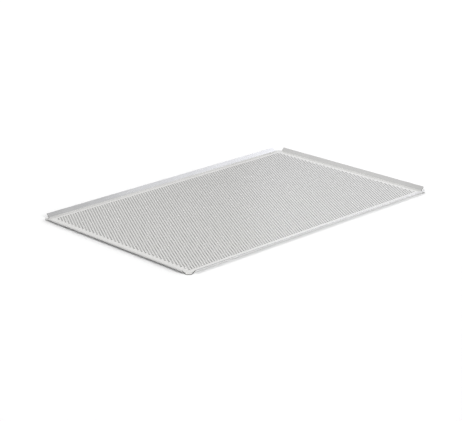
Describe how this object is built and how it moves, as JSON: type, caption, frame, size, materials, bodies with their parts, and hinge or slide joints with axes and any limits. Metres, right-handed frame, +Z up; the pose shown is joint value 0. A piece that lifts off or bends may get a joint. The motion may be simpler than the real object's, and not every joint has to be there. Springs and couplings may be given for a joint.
{
  "type": "perforated baguette tray",
  "caption": "Flat perforated aluminium baking sheet with a plain border and low rims folded up at an angle on every side, for baguettes and rolls.",
  "frame": {"origin": "middle of the underside, on the surface that the tray rests on", "axes": "+X along the tray's length, +Y along its width, +Z up out of the baking side"},
  "size_m": [0.6, 0.4, 0.008],
  "materials": {
    "aluminium_sheet": "mill finish rolled sheet, bright satin with a fine grain along the length"
  },
  "bodies": {
    "root": {"plain_border": "aluminium_sheet", "perforated_band_1": "aluminium_sheet", "perforated_band_2": "aluminium_sheet", "perforated_band_3": "aluminium_sheet", "perforated_band_4": "aluminium_sheet", "perforated_band_5": "aluminium_sheet", "perforated_band_6": "aluminium_sheet", "perforated_band_7": "aluminium_sheet", "perforated_band_8": "aluminium_sheet", "perforated_band_9": "aluminium_sheet", "front_rim": "aluminium_sheet", "back_rim": "aluminium_sheet", "left_rim": "aluminium_sheet", "right_rim": "aluminium_sheet"}
  },
  "joints": []
}
